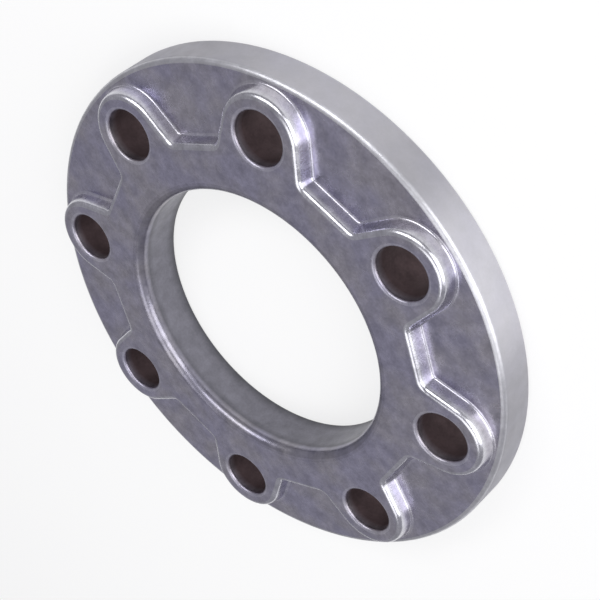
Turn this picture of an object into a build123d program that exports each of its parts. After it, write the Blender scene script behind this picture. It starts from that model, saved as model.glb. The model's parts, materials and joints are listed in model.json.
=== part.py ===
from build123d import *
from math import cos, hypot, radians, sin, tan
import os

# One-piece cast backing flange for a pipe stub. It lies on its flat back face at z = 0, and
# the bore runs up +Z. The front carries a raised relief: a ring round the bore with a tongue
# at each bolt hole. Lengths are in millimetres and angles in degrees.

# Body
outer_diameter = 200.0
body_thickness = 14.0
rim_draft = 3.0
rim_front_chamfer = 1.3
rim_back_chamfer = 1.0

# Bore, with a well rounded front lip
bore_diameter = 108.0
bore_front_rounding = 3.5
bore_back_chamfer = 1.0

# Bolt holes
bolt_count = 8
bolt_circle_diameter = 160.0
bolt_hole_diameter = 19.0
hole_front_chamfer = 1.1
hole_back_chamfer = 0.6

# Raised relief, with its outline measured on its flat top
relief_height = 5.5
ring_width = 17.0
boss_wall = 5.5
tongue_splay = 10.0
wall_draft = 15.0
crown_rounding = 2.0
foot_rounding = 1.5

# The inner corners of the outline are this much rounder than the fillet at their foot
corner_ease = 0.5

# Share of the narrow land outside a tongue that the foot fillet and the rim chamfer may fill
land_fill = 0.97

# Half of the gap within which an edge or a corner counts as lying on a plane or a circle
match_gap = 0.01

outer_radius = outer_diameter / 2
bore_radius = bore_diameter / 2
hole_radius = bolt_hole_diameter / 2
bolt_circle_radius = bolt_circle_diameter / 2
full_thickness = body_thickness + relief_height

# The walls of the relief lean out by this much between its top and its foot
draft_spread = relief_height * tan(radians(wall_draft))
boss_radius_at_foot = hole_radius + boss_wall + draft_spread
ring_edge_at_foot = bore_radius + ring_width + draft_spread

# Land on the lower front face, from the foot of a tongue to the sharp edge of the rim
rim_front_radius = outer_radius - body_thickness * tan(radians(rim_draft))
front_land = rim_front_radius - bolt_circle_radius - boss_radius_at_foot


def land_share():
    """How far the foot fillet and rim chamfer are cut down, at most 1, so that both fit."""
    foot_reach = foot_rounding * tan(radians(90 - wall_draft) / 2)
    return min(1.0, land_fill * front_land / (foot_reach + rim_front_chamfer))


def edges_at(solid, height):
    """Edges of the solid that lie in the level plane at this height."""
    return solid.edges().filter_by(
        lambda edge: abs(edge.bounding_box().min.Z - height) < match_gap
        and abs(edge.bounding_box().max.Z - height) < match_gap
    )


def circles_at(solid, height, radius):
    """Round edges of the solid at this height and of this radius."""
    return edges_at(solid, height).filter_by(
        lambda edge: edge.geom_type == GeomType.CIRCLE and abs(edge.radius - radius) < match_gap
    )


def tongue_outline():
    """One tongue at its foot: a round boss on the bolt circle with sides that splay inwards."""
    splay = radians(tongue_splay)
    touch_x = bolt_circle_radius + boss_radius_at_foot * sin(splay)
    touch_y = boss_radius_at_foot * cos(splay)
    root_x = bore_radius
    root_y = touch_y + (touch_x - root_x) * tan(splay)
    sides = Polygon(
        (touch_x, touch_y), (root_x, root_y), (root_x, -root_y), (touch_x, -touch_y), align=None
    )
    return sides + Pos(bolt_circle_radius, 0) * Circle(boss_radius_at_foot)


def relief_outline():
    """Foot of the whole relief: a ring with flats between the tongues, and rounded corners."""
    outline = RegularPolygon(ring_edge_at_foot, bolt_count, major_radius=False)
    outline += PolarLocations(0, bolt_count) * tongue_outline()
    inner_corners = outline.vertices().filter_by(
        lambda corner: hypot(corner.X, corner.Y) < bolt_circle_radius
    )
    return fillet(inner_corners, foot_rounding + corner_ease)


def relief():
    """The raised part of the front, with leaning walls and a rounded crown."""
    raised = extrude(Pos(0, 0, body_thickness) * relief_outline(), relief_height)
    walls = raised.faces().filter_by(lambda face: abs(face.normal_at().Z) < match_gap)
    raised = draft(walls, neutral_plane=Plane.XY.offset(body_thickness), angle=wall_draft)
    return fillet(edges_at(raised, full_thickness), crown_rounding)


def flange():
    """The casting: a disc with a drafted rim, the relief, the bore and the bolt holes."""
    upright = (Align.CENTER, Align.CENTER, Align.MIN)
    body = Cone(outer_radius, rim_front_radius, body_thickness, align=upright)
    casting = body + relief()

    rim = circles_at(casting, body_thickness, rim_front_radius)
    foot = edges_at(casting, body_thickness) - rim
    casting = fillet(foot, foot_rounding * land_share())
    rim = circles_at(casting, body_thickness, rim_front_radius)
    casting = chamfer(rim, rim_front_chamfer * land_share())
    casting = chamfer(circles_at(casting, 0, outer_radius), rim_back_chamfer)

    casting -= Cylinder(bore_radius, full_thickness, align=upright)
    bolt_hole = Cylinder(hole_radius, full_thickness, align=upright)
    casting -= PolarLocations(bolt_circle_radius, bolt_count) * bolt_hole

    casting = fillet(circles_at(casting, full_thickness, bore_radius), bore_front_rounding)
    casting = chamfer(circles_at(casting, 0, bore_radius), bore_back_chamfer)
    casting = chamfer(circles_at(casting, full_thickness, hole_radius), hole_front_chamfer)
    return chamfer(circles_at(casting, 0, hole_radius), hole_back_chamfer)


os.makedirs("parts", exist_ok=True)
export_step(flange(), "parts/backing_flange.step")
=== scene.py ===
import json
import logging
from dataclasses import dataclass
from enum import Enum
from math import cos, pi, radians, sin, tan

import bmesh
import bpy
from mathutils import Matrix, Quaternion, Vector


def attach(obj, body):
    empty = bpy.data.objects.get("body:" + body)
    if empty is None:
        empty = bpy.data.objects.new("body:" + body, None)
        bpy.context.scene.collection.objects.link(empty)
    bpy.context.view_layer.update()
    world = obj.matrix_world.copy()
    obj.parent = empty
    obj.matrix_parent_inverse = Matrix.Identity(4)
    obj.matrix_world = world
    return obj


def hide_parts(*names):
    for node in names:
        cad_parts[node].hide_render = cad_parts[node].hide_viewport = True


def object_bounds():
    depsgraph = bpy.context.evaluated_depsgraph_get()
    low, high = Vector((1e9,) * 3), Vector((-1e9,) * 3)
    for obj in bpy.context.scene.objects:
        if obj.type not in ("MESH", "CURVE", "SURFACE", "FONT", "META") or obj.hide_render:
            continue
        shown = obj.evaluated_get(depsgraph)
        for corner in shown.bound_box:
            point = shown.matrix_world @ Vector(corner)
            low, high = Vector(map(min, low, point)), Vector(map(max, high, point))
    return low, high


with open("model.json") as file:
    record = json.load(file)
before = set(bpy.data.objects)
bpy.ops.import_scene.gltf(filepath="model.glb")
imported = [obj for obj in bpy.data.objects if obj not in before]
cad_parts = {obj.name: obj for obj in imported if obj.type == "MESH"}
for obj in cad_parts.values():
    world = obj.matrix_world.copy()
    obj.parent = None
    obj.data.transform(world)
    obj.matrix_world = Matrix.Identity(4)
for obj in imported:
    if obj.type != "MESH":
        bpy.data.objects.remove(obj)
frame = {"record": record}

log = logging.getLogger("pipe_flange")
CAD_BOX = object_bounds()
MOUNTS = {mount["name"]: mount["dims"] for mount in frame["record"]["mounts"]}

MM = 0.001

# The whole range of a surface state
WHOLE = (0.0, 1.0)

# Places of the mix node's share, its two colours and its result
MIX_SHARE = 0
MIX_LOW = 6
MIX_HIGH = 7
MIX_RESULT = 2

Loop = list[tuple[Vector, Vector]]
Ring = list[bmesh.types.BMVert]
Edges = list[bmesh.types.BMEdge]
Socket = bpy.types.NodeSocket
Colour = tuple[float, float, float, float]
Span = tuple[float, float]


class Zone(Enum):
    """A surface state that the mesh carries for the finish, by the name of its attribute."""

    # Duller as-cast skin, darkened further as painted shade
    SKIN = "skin"
    # Brighter edges, partly wear and partly a painted highlight
    WEAR_AND_HIGHLIGHT = "wear_and_highlight"
    # Painted shade down the bolt holes
    DEPTH = "depth"
    TURNED = "turned"
    # Painted shade on the bore's lip, wall and back edge
    PAINTED_SHADE = "painted_shade"


@dataclass(frozen=True)
class SurfaceState:
    """State of a stretch of the surface: how much of each zone it shows, from 0 to 1."""

    skin: float = 0.0
    wear_and_highlight: float = 0.0
    depth: float = 0.0
    turned: float = 0.0
    painted_shade: float = 0.0


PLAIN = SurfaceState()


@dataclass(frozen=True)
class Station:
    """One ring of a profile: its distance outside its loop, its height and its surface state."""

    offset: float
    height: float
    surface_state: SurfaceState = PLAIN


@dataclass(frozen=True)
class Arc:
    """A round stretch of a profile, from its centre in offset and height. Angles in degrees."""

    centre: tuple[float, float]
    radius: float

    def stations(self, start: float, end: float, steps: int, surface_state: SurfaceState) -> list[Station]:
        """Stations along the arc.

        Args:
            start: Direction from the centre to the first station.
            end: Direction from the centre to the last station.
            steps: Number of steps along the arc.
            surface_state: Surface state of every station.

        Returns:
            The stations, in order.
        """
        made = []
        for step in range(steps + 1):
            turn = radians(start + (end - start) * step / steps)
            offset = self.centre[0] + self.radius * cos(turn)
            height = self.centre[1] + self.radius * sin(turn)
            made.append(Station(offset, height, surface_state))
        return made


def circle(centre: Vector, radius: float, points: int) -> Loop:
    """A round loop with its outward directions.

    Args:
        centre: Centre of the circle.
        radius: Radius of the circle.
        points: Number of points on it.

    Returns:
        Each point and the direction that leads away from the centre there.
    """
    turns = [2 * pi * step / points for step in range(points)]
    ways = [Vector((cos(turn), sin(turn))) for turn in turns]
    return [(centre + way * radius, way) for way in ways]


@dataclass(frozen=True)
class ReliefOutline:
    """Foot of the raised relief: a flat-sided ring with one tongue at each bolt hole.

    Lengths are in millimetres, and the splay of a tongue's sides is in degrees.
    """

    tongues: int
    bolt_circle_radius: float
    boss_radius: float
    ring_edge: float
    splay: float
    corner_rounding: float
    nose_steps: int = 24
    side_steps: int = 9
    corner_steps: int = 7
    flat_steps: int = 4

    def half_tongue(self) -> Loop:
        """From the tip of a tongue along one side to the middle of the next flat.

        Returns:
            Points and outward directions, the tip and the middle of the flat among them.
        """
        side_turn = radians(90 - self.splay)
        flat_turn = pi / self.tongues
        side_way = Vector((cos(side_turn), sin(side_turn)))
        flat_way = Vector((cos(flat_turn), sin(flat_turn)))
        boss = Vector((self.bolt_circle_radius, 0))
        side_reach = boss.dot(side_way) + self.boss_radius + self.corner_rounding
        flat_reach = self.ring_edge + self.corner_rounding
        cross = flat_way.x * side_way.y - flat_way.y * side_way.x
        corner = Vector((
            (flat_reach * side_way.y - side_reach * flat_way.y) / cross,
            (side_reach * flat_way.x - flat_reach * side_way.x) / cross,
        ))
        loop = []
        for step in range(self.nose_steps):
            turn = side_turn * step / self.nose_steps
            way = Vector((cos(turn), sin(turn)))
            loop.append((boss + way * self.boss_radius, way))
        side_start = boss + side_way * self.boss_radius
        side_end = corner - side_way * self.corner_rounding
        for step in range(self.side_steps):
            loop.append((side_start.lerp(side_end, step / self.side_steps), side_way))
        for step in range(self.corner_steps):
            turn = side_turn + (flat_turn - side_turn) * step / self.corner_steps
            way = Vector((cos(turn), sin(turn)))
            loop.append((corner - way * self.corner_rounding, way))
        flat_start = corner - flat_way * self.corner_rounding
        flat_end = flat_way * self.ring_edge
        for step in range(self.flat_steps + 1):
            loop.append((flat_start.lerp(flat_end, step / self.flat_steps), flat_way))
        return loop

    def loop(self) -> Loop:
        """The whole outline, with one sector to each tongue.

        Returns:
            Points and outward directions, once round.
        """
        half = self.half_tongue()
        mirrored = [
            (Vector((point.x, -point.y)), Vector((way.x, -way.y)))
            for point, way in half[:0:-1]
        ]
        sector = mirrored + half[:-1]
        whole = []
        for index in range(self.tongues):
            turn = Matrix.Rotation(2 * pi * index / self.tongues, 2)
            whole += [(turn @ point, turn @ way) for point, way in sector]
        return whole


class RingShell:
    """A closed shell grown ring by ring, which carries the surface states on its points."""

    def __init__(self) -> None:
        """Starts an empty shell."""
        self.mesh = bmesh.new()
        self.layers = {zone: self.mesh.verts.layers.float.new(zone.value) for zone in Zone}

    def place(self, ring: Ring, loop: Loop, station: Station) -> None:
        """Moves a ring's points to a station of its loop.

        Args:
            ring: The points, in the order of the loop.
            loop: Points and outward directions that the station is measured from.
            station: Where the ring goes, and its surface state.
        """
        for vert, (point, way) in zip(ring, loop):
            spot = point + way * station.offset
            vert.co = Vector((spot.x, spot.y, station.height)) * MM
            for zone, layer in self.layers.items():
                vert[layer] = getattr(station.surface_state, zone.value)

    def edges(self, ring: Ring) -> Edges:
        """The edges round a ring."""
        return [self.mesh.edges.get(pair) for pair in zip(ring, ring[1:] + ring[:1])]

    def wall(self, loop: Loop, stations: list[Station]) -> tuple[Edges, Edges]:
        """Grows a wall along a profile, from its first station to its last.

        Args:
            loop: Points and outward directions of the line that the wall follows.
            stations: Profile of the wall.

        Returns:
            Edges of the first and of the last ring.
        """
        ring = bmesh.ops.create_circle(self.mesh, segments=len(loop), radius=1.0)["verts"]
        self.place(ring, loop, stations[0])
        first = self.edges(ring)
        for station in stations[1:]:
            made = bmesh.ops.extrude_edge_only(self.mesh, edges=self.edges(ring))["geom"]
            fresh = {item for item in made if isinstance(item, bmesh.types.BMVert)}
            ring = [
                next(
                    edge.other_vert(vert)
                    for edge in vert.link_edges
                    if edge.other_vert(vert) in fresh
                )
                for vert in ring
            ]
            self.place(ring, loop, station)
        return first, self.edges(ring)

    def level_face(self, edges: Edges) -> None:
        """Fills the flat region that these loops bound."""
        bmesh.ops.triangle_fill(self.mesh, use_beauty=True, use_dissolve=False, edges=edges)

    def finish(self, name: str, material: bpy.types.Material) -> bpy.types.Object:
        """Turns the shell into a smooth object.

        Args:
            name: Name of the piece.
            material: Its finish.

        Returns:
            The new object.
        """
        bmesh.ops.recalc_face_normals(self.mesh, faces=self.mesh.faces)
        for face in self.mesh.faces:
            face.smooth = True
        data = bpy.data.meshes.new(name)
        self.mesh.to_mesh(data)
        self.mesh.free()
        data.materials.append(material)
        piece = bpy.data.objects.new(name, data)
        bpy.context.scene.collection.objects.link(piece)
        return piece


@dataclass
class Flange:
    """The whole casting, with the roundings of its edges. Sizes are in millimetres and degrees."""

    full_thickness: float = CAD_BOX[1].z / MM

    # Rim. Its radius is to the sharp corner that the back rounding takes off
    outer_radius: float = 100.0
    rim_draft: float = 3.0
    rim_front_rounding: float = 1.9
    rim_back_rounding: float = 1.0

    # Bore and bolt holes
    bore_radius: float = MOUNTS["bore"]["r_mm"]
    bore_front_rounding: float = 3.5
    bore_back_rounding: float = 1.0
    hole_count: int = MOUNTS["bolt_circle"]["count"]
    hole_radius: float = MOUNTS["bolt_circle"]["hole_r_mm"]
    hole_front_rounding: float = 1.3
    hole_back_rounding: float = 0.6
    bolt_circle_radius: float = MOUNTS["bolt_circle"]["pcd_mm"] / 2

    # Raised relief. Its widths are to the sharp corner of its top, which the crown rounding takes off
    relief_height: float = 5.5
    ring_width: float = 17.0
    boss_wall: float = 5.5
    tongue_splay: float = 10.0
    wall_draft: float = 15.0
    crown_rounding: float = 2.0
    foot_rounding: float = 1.1
    corner_ease: float = 0.9

    # Gap from a rounding to the extra ring on the flat beside it
    support: float = 0.06

    # Where each surface state ends and the next starts on a rounding, as directions from its centre
    rim_edge_until: float = 30.0
    turned_from: float = 20.0
    lip_until: float = 106.0
    under_lip_from: float = 112.0
    hole_lip_until: float = 135.0
    hole_throat_from: float = 146.0

    # Surface states, some of them painted shade or partly a painted highlight. The bore's wall has them
    # by the share of the way down, and a hole by the drop below its lip
    # The foot, crown and rim edge are brighter, partly as wear and partly as a painted highlight
    foot_state: SurfaceState = SurfaceState(skin=0.1, wear_and_highlight=0.2)
    wall_state: SurfaceState = SurfaceState(skin=0.1)
    crown_state: SurfaceState = SurfaceState(wear_and_highlight=0.8)
    rim_edge_state: SurfaceState = SurfaceState(wear_and_highlight=1.0, turned=0.55)
    rim_state: SurfaceState = SurfaceState(turned=1.0)
    # The bore's lip and the stretch under it carry painted shade
    lip_painted_shade: SurfaceState = SurfaceState(painted_shade=0.2)
    under_lip_painted_shade: SurfaceState = SurfaceState(skin=0.1, painted_shade=0.55)
    # The bore's wall: a skin darkened as painted shade, with more painted shade near its top and its foot
    bore_wall: tuple[tuple[float, SurfaceState], ...] = (
        (0.1, SurfaceState(skin=1.0, painted_shade=0.45)),
        (0.25, SurfaceState(skin=1.0)),
        (0.75, SurfaceState(skin=1.0, painted_shade=0.05)),
        (0.92, SurfaceState(skin=1.0, painted_shade=0.5)),
    )
    bore_back_painted_shade: SurfaceState = SurfaceState(skin=1.0, painted_shade=0.8)
    hole_lip_state: SurfaceState = SurfaceState(skin=0.45)
    # Painted shade that deepens down the bolt holes
    hole_throat_painted_shade: SurfaceState = SurfaceState(depth=0.4)
    hole_wall: tuple[tuple[float, SurfaceState], ...] = (
        (1.2, SurfaceState(depth=0.8)),
        (3.0, SurfaceState(depth=1.0)),
    )
    hole_deep_painted_shade: SurfaceState = SurfaceState(depth=1.0)

    # Rings on the relief's wall, by the share of its height
    wall_shares: tuple[float, ...] = (0.35, 0.65)

    # Fineness of the roundings and of the round loops
    foot_steps: int = 7
    crown_steps: int = 9
    rim_edge_steps: int = 6
    rim_side_steps: int = 2
    rim_back_steps: int = 5
    lip_steps: int = 2
    under_lip_steps: int = 9
    bore_back_steps: int = 4
    hole_lip_steps: int = 4
    hole_throat_steps: int = 3
    hole_back_steps: int = 3
    rim_points: int = 360
    bore_points: int = 240
    hole_points: int = 64

    def relief_stations(self) -> list[Station]:
        """Profile of the relief, from the lower front face up to its flat top.

        Returns:
            The stations of the profile.
        """
        body = self.full_thickness - self.relief_height
        lean = tan(radians(self.wall_draft))
        reach = tan(radians(90 - self.wall_draft) / 2)
        foot_reach = self.foot_rounding * reach
        foot = Arc((foot_reach, body + self.foot_rounding), self.foot_rounding)
        crown_reach = self.relief_height * lean + self.crown_rounding * reach
        crown = Arc((-crown_reach, self.full_thickness - self.crown_rounding), self.crown_rounding)
        stations = [Station(foot_reach + self.support, body)]
        stations += foot.stations(-90, self.wall_draft - 180, self.foot_steps, self.foot_state)
        low, high = stations[-1].height, crown.centre[1]
        for share in self.wall_shares:
            height = low + (high - low) * share
            stations.append(Station(-(height - body) * lean, height, self.wall_state))
        stations += crown.stations(self.wall_draft, 90, self.crown_steps, self.crown_state)
        stations.append(Station(-crown_reach - self.support, self.full_thickness))
        return stations

    def rim_stations(self) -> list[Station]:
        """Profile of the rim, from the lower front face down to the back face.

        Returns:
            The stations of the profile.
        """
        body = self.full_thickness - self.relief_height
        lean = tan(radians(self.rim_draft))
        front_reach = body * lean + self.rim_front_rounding * tan(radians(90 - self.rim_draft) / 2)
        front = Arc((-front_reach, body - self.rim_front_rounding), self.rim_front_rounding)
        back_reach = self.rim_back_rounding * tan(radians(90 + self.rim_draft) / 2)
        back = Arc((-back_reach, self.rim_back_rounding), self.rim_back_rounding)
        stations = [Station(-front_reach - self.support, body)]
        stations += front.stations(90, self.rim_edge_until, self.rim_edge_steps, self.rim_edge_state)
        stations += front.stations(self.turned_from, self.rim_draft, self.rim_side_steps, self.rim_state)
        stations += back.stations(self.rim_draft, -90, self.rim_back_steps, self.rim_state)
        stations.append(Station(-back_reach - self.support, 0))
        return stations

    def bore_stations(self) -> list[Station]:
        """Profile of the bore, from the flat top down to the back face.

        Returns:
            The stations of the profile.
        """
        lip_height = self.full_thickness - self.bore_front_rounding
        lip = Arc((self.bore_front_rounding, lip_height), self.bore_front_rounding)
        back = Arc((self.bore_back_rounding, self.bore_back_rounding), self.bore_back_rounding)
        stations = [Station(lip.radius + self.support, self.full_thickness)]
        stations += lip.stations(90, self.lip_until, self.lip_steps, self.lip_painted_shade)
        stations += lip.stations(self.under_lip_from, 180, self.under_lip_steps, self.under_lip_painted_shade)
        top, bottom = lip.centre[1], back.centre[1]
        for share, surface_state in self.bore_wall:
            stations.append(Station(0, top + (bottom - top) * share, surface_state))
        stations += back.stations(180, 270, self.bore_back_steps, self.bore_back_painted_shade)
        stations.append(Station(back.radius + self.support, 0))
        return stations

    def hole_stations(self) -> list[Station]:
        """Profile of a bolt hole, from the flat top down to the back face.

        Returns:
            The stations of the profile.
        """
        lip_height = self.full_thickness - self.hole_front_rounding
        lip = Arc((self.hole_front_rounding, lip_height), self.hole_front_rounding)
        back = Arc((self.hole_back_rounding, self.hole_back_rounding), self.hole_back_rounding)
        stations = [Station(lip.radius + self.support, self.full_thickness)]
        stations += lip.stations(90, self.hole_lip_until, self.hole_lip_steps, self.hole_lip_state)
        throat_steps = self.hole_throat_steps
        stations += lip.stations(self.hole_throat_from, 180, throat_steps, self.hole_throat_painted_shade)
        for drop, surface_state in self.hole_wall:
            stations.append(Station(0, lip.centre[1] - drop, surface_state))
        stations += back.stations(180, 270, self.hole_back_steps, self.hole_deep_painted_shade)
        stations.append(Station(back.radius + self.support, 0))
        return stations

    def build(self, material: bpy.types.Material) -> bpy.types.Object:
        """Makes the casting and lets it stand for the CAD node.

        Args:
            material: Finish of the casting.

        Returns:
            The casting.
        """
        spread = self.relief_height * tan(radians(self.wall_draft))
        outline = ReliefOutline(
            tongues=self.hole_count,
            bolt_circle_radius=self.bolt_circle_radius,
            boss_radius=self.hole_radius + self.boss_wall + spread,
            ring_edge=self.bore_radius + self.ring_width + spread,
            splay=self.tongue_splay,
            corner_rounding=self.foot_rounding + self.corner_ease,
        )
        shell = RingShell()
        centre = Vector((0, 0))
        rim = circle(centre, self.outer_radius, self.rim_points)
        bore = circle(centre, self.bore_radius, self.bore_points)
        foot, crown = shell.wall(outline.loop(), self.relief_stations())
        rim_top, rim_bottom = shell.wall(rim, self.rim_stations())
        bore_top, bore_bottom = shell.wall(bore, self.bore_stations())
        top, bottom = crown + bore_top, rim_bottom + bore_bottom
        for index in range(self.hole_count):
            turn = Matrix.Rotation(2 * pi * index / self.hole_count, 2)
            middle = turn @ Vector((self.bolt_circle_radius, 0))
            hole = circle(middle, self.hole_radius, self.hole_points)
            hole_top, hole_bottom = shell.wall(hole, self.hole_stations())
            top += hole_top
            bottom += hole_bottom
        shell.level_face(top)
        shell.level_face(foot + rim_top)
        shell.level_face(bottom)
        casting = shell.finish("flange_casting", material)
        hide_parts("backing_flange")
        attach(casting, "root")
        return casting


@dataclass(frozen=True)
class Pattern:
    """Soft noise: the size of its patches in millimetres, and its finer layers."""

    size: float
    detail: float
    rough: float = 0.5


@dataclass
class NodeSheet:
    """Adds nodes to one material and joins them."""

    material: bpy.types.Material

    def add(self, kind: str, inputs: dict | None = None, **settings: str) -> bpy.types.Node:
        """Adds a node.

        Args:
            kind: Type of the node.
            inputs: What each of its sockets gets: a value, or a socket to join it to.
            **settings: Its properties.

        Returns:
            The new node.
        """
        tree = self.material.node_tree
        node = tree.nodes.new(kind)
        for name, value in settings.items():
            setattr(node, name, value)
        for name, value in (inputs or {}).items():
            if isinstance(value, Socket):
                tree.links.new(value, node.inputs[name])
            else:
                node.inputs[name].default_value = value
        return node

    def noise(self, spot: Socket, pattern: Pattern) -> Socket:
        """Soft noise from 0 to 1.

        Args:
            spot: Where it is read, in millimetres.
            pattern: What it looks like.

        Returns:
            The value.
        """
        inputs = {"Vector": spot, "Scale": 1.0 / pattern.size}
        inputs.update({"Detail": pattern.detail, "Roughness": pattern.rough})
        return self.add("ShaderNodeTexNoise", inputs).outputs["Fac"]

    def span(self, value: Socket, source: Span, target: Span) -> Socket:
        """Moves a value from one range to another, and holds it inside.

        Args:
            value: The value.
            source: The range that it comes from.
            target: The range that it is moved to.

        Returns:
            The moved value.
        """
        inputs = {"Value": value, "From Min": source[0], "From Max": source[1]}
        inputs.update({"To Min": target[0], "To Max": target[1]})
        return self.add("ShaderNodeMapRange", inputs).outputs["Result"]

    def math(self, operation: str, first: Socket, second: Socket | float) -> Socket:
        """The result of one operation on two values."""
        return self.add("ShaderNodeMath", {0: first, 1: second}, operation=operation).outputs[0]

    def scaled(self, vector: Socket, factor: Socket | float) -> Socket:
        """A vector or colour times a factor."""
        inputs = {0: vector, "Scale": factor}
        return self.add("ShaderNodeVectorMath", inputs, operation="SCALE").outputs[0]

    def blend(self, share: Socket, low: Socket | Colour, high: Socket | Colour) -> Socket:
        """Blends two colours, by the share of the second."""
        inputs = {MIX_SHARE: share, MIX_LOW: low, MIX_HIGH: high}
        return self.add("ShaderNodeMix", inputs, data_type="RGBA").outputs[MIX_RESULT]

    def zone(self, zone: Zone) -> Socket:
        """One of the surface states that the mesh carries."""
        return self.add("ShaderNodeAttribute", attribute_name=zone.value).outputs["Fac"]


@dataclass(frozen=True)
class CastAluminium:
    """Finish of the casting: blasted grey metal, clouded, with a duller skin on its walls that is
    darkened further as painted shade, painted shade in the holes and on the bore, and brighter edges that
    are partly a painted highlight.
    """

    name: str = "cast_aluminium"
    cool: Colour = (0.45, 0.436, 0.55, 1.0)
    warm: Colour = (0.5, 0.48, 0.535, 1.0)
    # Edge tone, partly wear and partly a painted highlight
    worn_and_highlight: Colour = (0.62, 0.62, 0.66, 1.0)
    # Skin tone, darkened further as painted shade
    skin: Colour = (0.15, 0.147, 0.175, 1.0)
    # Painted shade down the bolt holes
    hole: Colour = (0.12, 0.085, 0.09, 1.0)
    turned: Colour = (0.46, 0.457, 0.48, 1.0)
    turned_cover: float = 0.8
    # Darkest share of the colour under the painted shade
    painted_shade_darkest: float = 0.3

    # Clouds from the cool to the warm grey, and stains and flecks that shade the colour
    cloud: Pattern = Pattern(16.0, 3.0)
    cloud_noise: Span = (0.38, 0.62)
    noise_range: Span = (0.3, 0.7)
    stain: Pattern = Pattern(5.0, 4.0, 0.6)
    stain_range: Span = (0.82, 1.18)
    fleck: Pattern = Pattern(0.9, 2.0)
    fleck_range: Span = (0.92, 1.08)

    # Roughness of the plain metal, and what each surface state adds to it
    satin: Pattern = Pattern(4.0, 3.0)
    satin_range: Span = (0.19, 0.3)
    dullness: tuple[tuple[Zone, float], ...] = (
        (Zone.WEAR_AND_HIGHLIGHT, -0.01),
        (Zone.SKIN, 0.14),
        (Zone.DEPTH, 0.4),
        (Zone.TURNED, 0.27),
        (Zone.PAINTED_SHADE, 0.12),
    )

    # How metallic the skin and the turned rim are, and how much the turning marks spread the gloss
    skin_metal: float = 0.15
    turned_metal: float = 0.85
    turned_grain: float = 0.9

    # Patterns that stand up from the surface, with their heights in millimetres
    bumps: tuple[tuple[Pattern, float], ...] = (
        (Pattern(22.0, 2.0), 0.24),
        (Pattern(4.0, 3.0), 0.06),
        (Pattern(0.7, 2.0), 0.009),
    )

    def material(self) -> bpy.types.Material:
        """Builds the finish.

        Returns:
            The new material.
        """
        made = bpy.data.materials.new(self.name)
        made.use_nodes = True
        sheet = NodeSheet(made)
        shader = made.node_tree.nodes["Principled BSDF"]
        place = sheet.add("ShaderNodeTexCoord").outputs["Object"]
        spot = sheet.scaled(place, 1 / MM)
        zones = {zone: sheet.zone(zone) for zone in Zone}
        join = made.node_tree.links.new
        join(self.colour(sheet, spot, zones), shader.inputs["Base Color"])
        join(self.metal(sheet, zones), shader.inputs["Metallic"])
        join(self.roughness(sheet, spot, zones), shader.inputs["Roughness"])
        join(self.relief(sheet, spot), shader.inputs["Normal"])
        # The turning marks run round the rim, so they spread its gloss up and down
        grain = sheet.math("MULTIPLY", zones[Zone.TURNED], self.turned_grain)
        join(grain, shader.inputs["Anisotropic"])
        upward = sheet.add("ShaderNodeCombineXYZ", {"Z": 1.0}).outputs[0]
        join(upward, shader.inputs["Tangent"])
        return made

    def colour(self, sheet: NodeSheet, spot: Socket, zones: dict[Zone, Socket]) -> Socket:
        """Clouded grey, brighter on edges as wear and partly as a painted highlight, darker on walls as
        skin and painted shade, and with painted shade in the holes and on the bore.

        Args:
            sheet: The material's nodes.
            spot: Place on the casting in millimetres.
            zones: The surface states.

        Returns:
            The colour.
        """
        cloud = sheet.span(sheet.noise(spot, self.cloud), self.cloud_noise, WHOLE)
        tone = sheet.blend(cloud, self.cool, self.warm)
        # Edges brighter, partly as wear and partly as a painted highlight
        tone = sheet.blend(zones[Zone.WEAR_AND_HIGHLIGHT], tone, self.worn_and_highlight)
        # Skin that is darker, and darker still as painted shade
        tone = sheet.blend(zones[Zone.SKIN], tone, self.skin)
        # Painted shade down the bolt holes
        tone = sheet.blend(zones[Zone.DEPTH], tone, self.hole)
        stain = sheet.span(sheet.noise(spot, self.stain), self.noise_range, self.stain_range)
        fleck = sheet.span(sheet.noise(spot, self.fleck), self.noise_range, self.fleck_range)
        tone = sheet.scaled(tone, sheet.math("MULTIPLY", stain, fleck))
        # Painted shade on the bore's lip, wall and back edge
        painted_shade_factor = sheet.span(zones[Zone.PAINTED_SHADE], WHOLE, (1.0, self.painted_shade_darkest))
        tone = sheet.scaled(tone, painted_shade_factor)
        cover = sheet.math("MULTIPLY", zones[Zone.TURNED], self.turned_cover)
        return sheet.blend(cover, tone, self.turned)

    def metal(self, sheet: NodeSheet, zones: dict[Zone, Socket]) -> Socket:
        """Bare metal, with a dull bloom on the walls and on the turned rim.

        Args:
            sheet: The material's nodes.
            zones: The surface states.

        Returns:
            How metallic the surface is.
        """
        skin = sheet.span(zones[Zone.SKIN], WHOLE, (1.0, self.skin_metal))
        turned = sheet.span(zones[Zone.TURNED], WHOLE, (1.0, self.turned_metal))
        return sheet.math("MULTIPLY", skin, turned)

    def roughness(self, sheet: NodeSheet, spot: Socket, zones: dict[Zone, Socket]) -> Socket:
        """Uneven satin, a little smoother on the brighter edges and duller in every other state.

        Args:
            sheet: The material's nodes.
            spot: Place on the casting in millimetres.
            zones: The surface states.

        Returns:
            The roughness.
        """
        total = sheet.span(sheet.noise(spot, self.satin), self.noise_range, self.satin_range)
        for zone, extra in self.dullness:
            total = sheet.math("ADD", total, sheet.math("MULTIPLY", zones[zone], extra))
        return total

    def relief(self, sheet: NodeSheet, spot: Socket) -> Socket:
        """Slow waves of the casting, a pebbled surface and blasted grain.

        Args:
            sheet: The material's nodes.
            spot: Place on the casting in millimetres.

        Returns:
            The normal.
        """
        normal = None
        for pattern, height in self.bumps:
            inputs = {"Height": sheet.noise(spot, pattern), "Distance": height * MM}
            if normal:
                inputs["Normal"] = normal
            normal = sheet.add("ShaderNodeBump", inputs).outputs["Normal"]
        return normal


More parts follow.
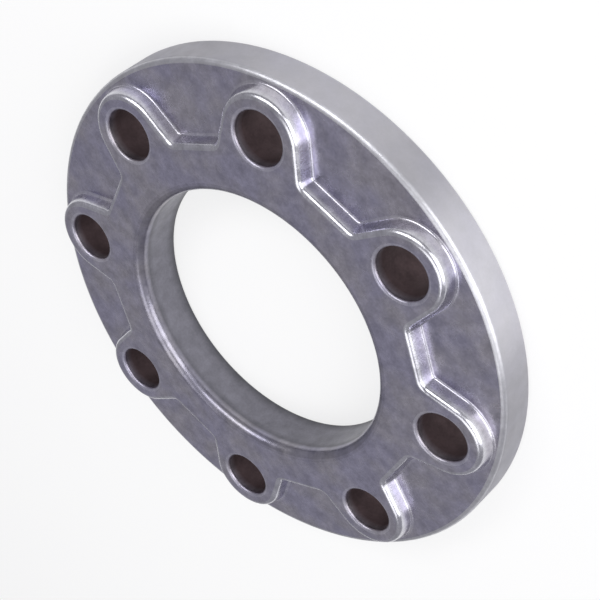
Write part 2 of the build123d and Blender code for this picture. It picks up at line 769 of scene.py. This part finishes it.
def way_to(azimuth: float, elevation: float) -> Vector:
    """The direction at an azimuth, from -Y towards +X, and an elevation in degrees."""
    turn, rise = radians(azimuth), radians(elevation)
    return Vector((sin(turn) * cos(rise), -cos(turn) * cos(rise), sin(rise)))


@dataclass(frozen=True)
class SoftPanel:
    """A soft panel that faces the object. Angles in degrees, lengths in metres."""

    name: str
    azimuth: float
    elevation: float
    width: float
    height: float
    radiance: float
    distance: float = 1.2

    def build(self) -> bpy.types.Object:
        """Makes the lamp and hangs it in its place.

        Returns:
            The lamp's object.
        """
        way = way_to(self.azimuth, self.elevation)
        lamp = bpy.data.lights.new(self.name, "AREA")
        lamp.shape = "RECTANGLE"
        lamp.size = self.width
        lamp.size_y = self.height
        lamp.energy = self.radiance * pi * self.width * self.height
        holder = bpy.data.objects.new(self.name, lamp)
        holder.location = way * self.distance
        holder.rotation_mode = "QUATERNION"
        holder.rotation_quaternion = (-way).to_track_quat("-Z", "Y")
        bpy.context.scene.collection.objects.link(holder)
        return holder


@dataclass(frozen=True)
class Studio:
    """Pale floor, dim even surroundings and soft panels. Lengths in metres."""

    floor_tone: float = 0.84
    floor_roughness: float = 0.9
    floor_half_width: float = 30.0
    floor_gap: float = 0.05 * MM
    floor_white: float = 1.0
    floor_whitening: float = 0.7
    sky_tone: Colour = (0.94, 0.93, 1.0, 1.0)
    sky_strength: float = 0.375
    panels: tuple[SoftPanel, ...] = (
        SoftPanel("window", -24.0, 25.0, 1.2, 1.0, 3.1),
        SoftPanel("side", 62.0, 44.0, 1.1, 0.45, 4.2),
        SoftPanel("overhead", -90.0, 72.0, 0.8, 0.8, 1.8),
    )

    def build(self) -> list[bpy.types.Object]:
        """Makes the floor, the world and the lamps.

        Returns:
            The floor and the lamps.
        """
        made = [self.floor()]
        world = bpy.data.worlds.new("surroundings")
        world.use_nodes = True
        back = world.node_tree.nodes["Background"]
        back.inputs["Color"].default_value = self.sky_tone
        back.inputs["Strength"].default_value = self.sky_strength
        bpy.context.scene.world = world
        made += [panel.build() for panel in self.panels]
        return made

    def floor(self) -> bpy.types.Object:
        """Makes the floor.

        Returns:
            The floor.
        """
        mesh = bmesh.new()
        bmesh.ops.create_grid(mesh, x_segments=1, y_segments=1, size=self.floor_half_width)
        data = bpy.data.meshes.new("floor")
        mesh.to_mesh(data)
        mesh.free()
        data.materials.append(self.floor_material())
        floor = bpy.data.objects.new("floor", data)
        floor.location.z = -self.floor_gap
        bpy.context.scene.collection.objects.link(floor)
        return floor

    def floor_material(self) -> bpy.types.Material:
        """Pale matt floor, part of the way to white where it is seen or mirrored.

        Returns:
            The new material.
        """
        made = bpy.data.materials.new("floor")
        made.use_nodes = True
        sheet = NodeSheet(made)
        shader = made.node_tree.nodes["Principled BSDF"]
        shader.inputs["Base Color"].default_value = (self.floor_tone,) * 3 + (1.0,)
        shader.inputs["Roughness"].default_value = self.floor_roughness
        path = sheet.add("ShaderNodeLightPath").outputs
        seen = sheet.math("ADD", path["Is Camera Ray"], path["Is Glossy Ray"])
        seen = sheet.math("ADD", seen, path["Is Transmission Ray"])
        share = sheet.span(seen, WHOLE, (0.0, self.floor_whitening))
        white = sheet.add("ShaderNodeEmission", {"Strength": self.floor_white}).outputs[0]
        mixed = sheet.add("ShaderNodeMixShader", {0: share, 1: shader.outputs[0], 2: white})
        output = made.node_tree.nodes["Material Output"]
        made.node_tree.links.new(mixed.outputs[0], output.inputs["Surface"])
        return made


@dataclass(frozen=True)
class PhotoCamera:
    """Camera at the photograph's viewing angle, rolled as the photograph is.

    Angles are in degrees, distances in metres and the focal length in millimetres.
    """

    azimuth: float = 11.838
    elevation: float = 38.162
    roll: float = -129.361
    distance: float = 372.7 * MM
    aim: tuple[float, float, float] = (3.783 * MM, -32.748 * MM, 19.5 * MM)
    lens: float = 67.151
    nearest: float = 0.01

    def build(self) -> bpy.types.Object:
        """Makes the camera and gives it to the scene.

        Returns:
            The camera.
        """
        back = way_to(self.azimuth, self.elevation)
        data = bpy.data.cameras.new("camera")
        data.lens = self.lens
        data.clip_start = self.nearest
        camera = bpy.data.objects.new("camera", data)
        camera.location = Vector(self.aim) + back * self.distance
        camera.rotation_mode = "QUATERNION"
        level = (-back).to_track_quat("-Z", "Y")
        camera.rotation_quaternion = level @ Quaternion((0, 0, 1), radians(self.roll))
        bpy.context.scene.collection.objects.link(camera)
        bpy.context.scene.camera = camera
        return camera


def main() -> None:
    """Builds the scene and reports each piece."""
    logging.basicConfig(level=logging.INFO)
    casting = Flange().build(CastAluminium().material())
    log.info("%s: %d faces", casting.name, len(casting.data.polygons))
    for fitting in Studio().build():
        log.info("%s: in place", fitting.name)
    camera = PhotoCamera().build()
    log.info("%s: in place", camera.name)
    bpy.context.scene.view_settings.view_transform = "Standard"


if __name__ == "__main__":
    main()
